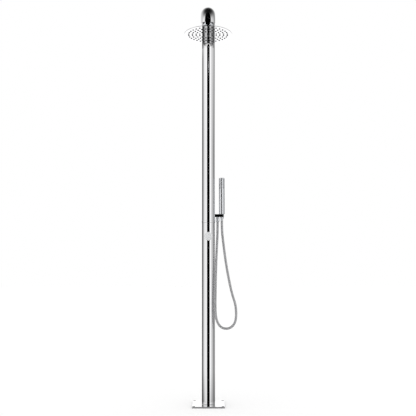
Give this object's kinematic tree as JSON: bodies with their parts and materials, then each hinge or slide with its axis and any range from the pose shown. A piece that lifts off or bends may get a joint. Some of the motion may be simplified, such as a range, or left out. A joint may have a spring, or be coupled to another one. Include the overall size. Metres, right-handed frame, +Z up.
{
  "type": "outdoor shower post",
  "caption": "Free-standing outdoor shower: polished tube post on a square floor plate, arm with a round rain head, knob tap, and hand shower on a hose.",
  "frame": {"origin": "on the post's axis, on the underside of the floor plate", "axes": "+Z up along the post, -Y towards the user (arm, rain head and knob), +X towards the hand shower"},
  "size_m": [0.2854, 0.635, 2.1516],
  "materials": {
    "mirror_stainless": "mirror-polished stainless steel",
    "chromed_brass": "bright chrome plate on brass",
    "raw_brass": "plain machined brass",
    "satin_stainless": "drawn stainless, satin",
    "hose_metal": "interlocked metal hose, satin",
    "nozzle_silicone": "light grey silicone, matte",
    "seal_rubber": "black rubber, matte",
    "friction_plastic": "white sliding plastic",
    "cartridge_plastic": "grey moulded plastic",
    "spray_insert_plastic": "light grey gloss plastic"
  },
  "bodies": {
    "shower_post": {"base_plate": "mirror_stainless", "lower_post": "mirror_stainless", "joint_sleeve": "mirror_stainless", "joint_screws": "satin_stainless", "upper_post": "mirror_stainless", "rear_elbow": "mirror_stainless", "arm_tube": "mirror_stainless", "front_elbow": "mirror_stainless", "arm_end_cap": "mirror_stainless", "swivel_stem": "chromed_brass", "stem_nut": "raw_brass", "valve_body": "raw_brass", "valve_cartridge": "cartridge_plastic", "cartridge_nut": "raw_brass", "valve_escutcheon": "chromed_brass", "valve_locknut": "chromed_brass", "inlet_adapter": "raw_brass", "supply_pipe": "satin_stainless", "riser_pipe": "satin_stainless", "handset_pipe": "satin_stainless", "holder_bar": "chromed_brass", "holder_locknut": "raw_brass", "outlet_nipple": "chromed_brass", "hose_washer": "seal_rubber", "hose_nut": "chromed_brass", "shower_hose": "hose_metal"},
    "control_knob": {"control_knob": "chromed_brass", "valve_spindle": "satin_stainless", "knob_grub_screw": "satin_stainless"},
    "swivel_ring": {"swivel_ring": "friction_plastic"},
    "rain_head": {"swivel_collar": "chromed_brass", "ball_seat_seal": "seal_rubber", "head_back_plate": "mirror_stainless", "head_nozzle_mat": "nozzle_silicone", "head_spray_plate": "mirror_stainless"},
    "hose_end": {"hose_ferrule": "chromed_brass"},
    "handset": {"hose_cone": "chromed_brass", "handset_base_plug": "chromed_brass", "handset_tube": "chromed_brass", "handset_spray_plate": "spray_insert_plastic", "handset_nozzles": "nozzle_silicone"}
  },
  "joints": [
    {"name": "knob_turn", "type": "hinge", "parent": "shower_post", "child": "control_knob", "pos_m": [0, -0.046, 0.943], "axis": [0, -1, 0], "range_deg": [-90, 90]},
    {"name": "head_swivel", "type": "hinge", "parent": "shower_post", "child": "swivel_ring", "pos_m": [0, -0.42, 2.018], "axis": [0, 0, 1], "continuous": true},
    {"name": "head_tilt", "type": "hinge", "parent": "swivel_ring", "child": "rain_head", "pos_m": [0, -0.42, 2.018], "axis": [1, 0, 0], "range_deg": [-15, 15]},
    {"name": "handset_lift", "type": "slide", "parent": "shower_post", "child": "hose_end", "axis": [0, 0, 1], "range_m": [0, 0.06]},
    {"name": "handset_turn", "type": "hinge", "parent": "hose_end", "child": "handset", "pos_m": [0.077, 0, 1.047], "axis": [0, 0, 1], "continuous": true}
  ]
}
